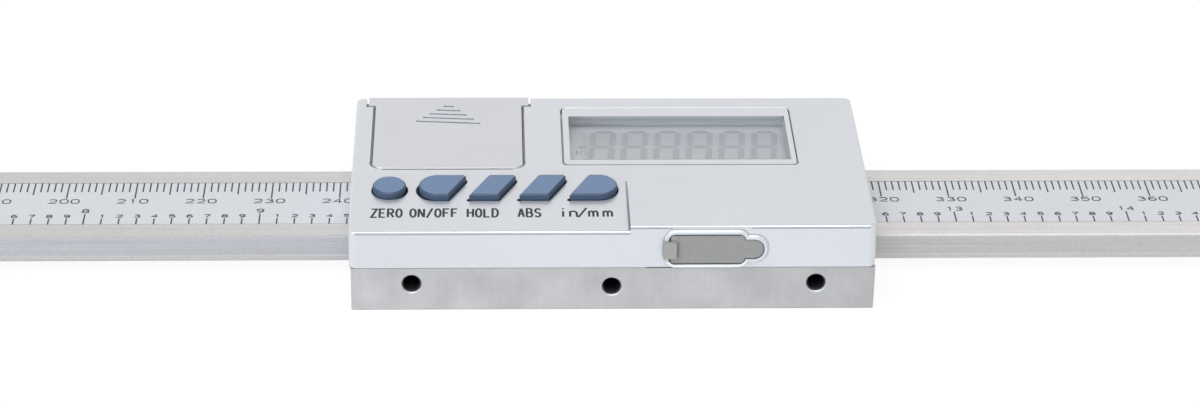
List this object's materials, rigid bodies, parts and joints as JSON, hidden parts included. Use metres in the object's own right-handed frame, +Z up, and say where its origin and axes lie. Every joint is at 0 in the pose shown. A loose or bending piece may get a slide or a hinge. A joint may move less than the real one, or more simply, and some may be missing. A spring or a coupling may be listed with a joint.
{
  "type": "digital linear scale",
  "caption": "Flat graduated beam with a sliding read-out head: display window, oblique push keys, battery lid, plugged data port and tapped fixing holes.",
  "frame": {"origin": "on the plane of the slider's underside, below the middle of the beam's length and width", "axes": "+X along the beam towards rising readings, +Y towards the back, +Z up through the display"},
  "size_m": [0.62, 0.0409, 0.0145],
  "materials": {
    "scale_beam": "fine lengthwise grinding",
    "electrode_strip": "laminate with copper pads",
    "graduation_plate": "satin foil with printed graduations",
    "stop_screws": "bright",
    "slider_base": "milled, fine brushed",
    "gib_strip": "plain",
    "gib_screws": "blackened",
    "circuit_board": "green solder mask",
    "board_screws": "bright",
    "controller_chip": "black moulding",
    "data_contacts": "gilt",
    "zebra_strips": "matt",
    "lcd_glass": "polished, grey-green rear polariser",
    "lcd_frame": "moulded",
    "display_window": "clear, polished",
    "cell_spring": "nickel plated",
    "cell_clip": "nickel plated",
    "coin_cell": "bright",
    "top_cover": "silver paint, satin",
    "cover_screws": "bright",
    "battery_lid": "silver paint, satin",
    "port_plug": "matt",
    "zero_key": "moulded, fine texture",
    "zero_dome": "bright",
    "power_key": "moulded, fine texture",
    "power_dome": "bright",
    "hold_key": "moulded, fine texture",
    "hold_dome": "bright",
    "absolute_key": "moulded, fine texture",
    "absolute_dome": "bright",
    "unit_key": "moulded, fine texture",
    "unit_dome": "bright"
  },
  "bodies": {
    "beam": {"scale_beam": "scale_beam", "electrode_strip": "electrode_strip", "graduation_plate": "graduation_plate", "stop_screws": "stop_screws"},
    "slider": {"slider_base": "slider_base", "gib_strip": "gib_strip", "gib_screws": "gib_screws", "circuit_board": "circuit_board", "board_screws": "board_screws", "controller_chip": "controller_chip", "data_contacts": "data_contacts", "zebra_strips": "zebra_strips", "lcd_glass": "lcd_glass", "lcd_frame": "lcd_frame", "display_window": "display_window", "cell_spring": "cell_spring", "cell_clip": "cell_clip", "coin_cell": "coin_cell", "top_cover": "top_cover", "cover_screws": "cover_screws", "zero_dome": "zero_dome", "power_dome": "power_dome", "hold_dome": "hold_dome", "absolute_dome": "absolute_dome", "unit_dome": "unit_dome"},
    "lid": {"battery_lid": "battery_lid"},
    "plug": {"port_plug": "port_plug"},
    "zero_button": {"zero_key": "zero_key"},
    "power_button": {"power_key": "power_key"},
    "hold_button": {"hold_key": "hold_key"},
    "absolute_button": {"absolute_key": "absolute_key"},
    "unit_button": {"unit_key": "unit_key"}
  },
  "joints": [
    {"name": "slider_travel", "type": "slide", "parent": "beam", "child": "slider", "axis": [1, 0, 0], "range_m": [-0.2421, 0.2579]},
    {"name": "lid_slide", "type": "slide", "parent": "slider", "child": "lid", "axis": [0, 1, 0], "range_m": [0, 0.024]},
    {"name": "plug_pull", "type": "slide", "parent": "slider", "child": "plug", "axis": [0, -1, 0], "range_m": [0, 0.006]},
    {"name": "zero_press", "type": "slide", "parent": "slider", "child": "zero_button", "axis": [0, 0, -1], "range_m": [0, 0.0004], "stiffness_N_per_m": 1500, "deforming": ["zero_dome"]},
    {"name": "power_press", "type": "slide", "parent": "slider", "child": "power_button", "axis": [0, 0, -1], "range_m": [0, 0.0004], "stiffness_N_per_m": 1500, "deforming": ["power_dome"]},
    {"name": "hold_press", "type": "slide", "parent": "slider", "child": "hold_button", "axis": [0, 0, -1], "range_m": [0, 0.0004], "stiffness_N_per_m": 1500, "deforming": ["hold_dome"]},
    {"name": "absolute_press", "type": "slide", "parent": "slider", "child": "absolute_button", "axis": [0, 0, -1], "range_m": [0, 0.0004], "stiffness_N_per_m": 1500, "deforming": ["absolute_dome"]},
    {"name": "unit_press", "type": "slide", "parent": "slider", "child": "unit_button", "axis": [0, 0, -1], "range_m": [0, 0.0004], "stiffness_N_per_m": 1500, "deforming": ["unit_dome"]}
  ]
}
